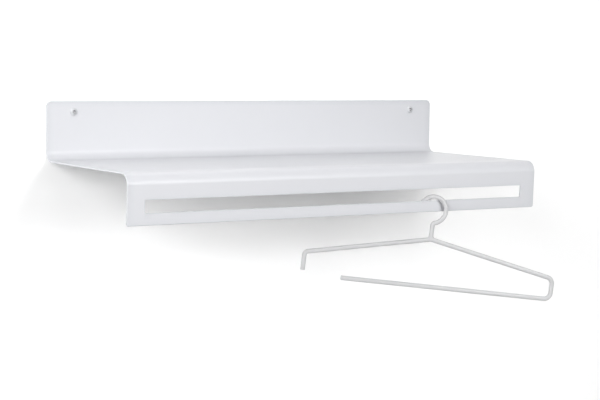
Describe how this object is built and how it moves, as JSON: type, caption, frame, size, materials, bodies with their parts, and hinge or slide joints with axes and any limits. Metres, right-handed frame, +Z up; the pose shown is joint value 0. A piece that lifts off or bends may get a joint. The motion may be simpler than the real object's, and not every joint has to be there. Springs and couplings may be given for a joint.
{
  "type": "wall shelf",
  "caption": "Wall shelf folded from one white sheet, with a long slot in its front that leaves a rail for an open rod hanger.",
  "frame": {"origin": "on the wall's face, midway between the two screws", "axes": "+X along the wall to the right as seen from the room, +Y into the wall, +Z up"},
  "size_m": [0.7, 0.4023, 0.2978],
  "materials": {
    "shelf_coat": "white powder coat, satin, with a fine orange-peel surface",
    "hanger_coat": "white powder coat, satin",
    "screw_metal": "zinc-plated steel with a white lacquered head"
  },
  "bodies": {
    "shelf": {"shelf_sheet": "shelf_coat", "wall_screw_left": "screw_metal", "wall_screw_right": "screw_metal"},
    "hanger": {"hanger_hook": "hanger_coat", "hanger_frame": "hanger_coat"}
  },
  "joints": [
    {"name": "hanger_slide", "type": "slide", "parent": "shelf", "child": "hanger", "axis": [1, 0, 0], "range_m": [-0.465, 0.151]}
  ]
}
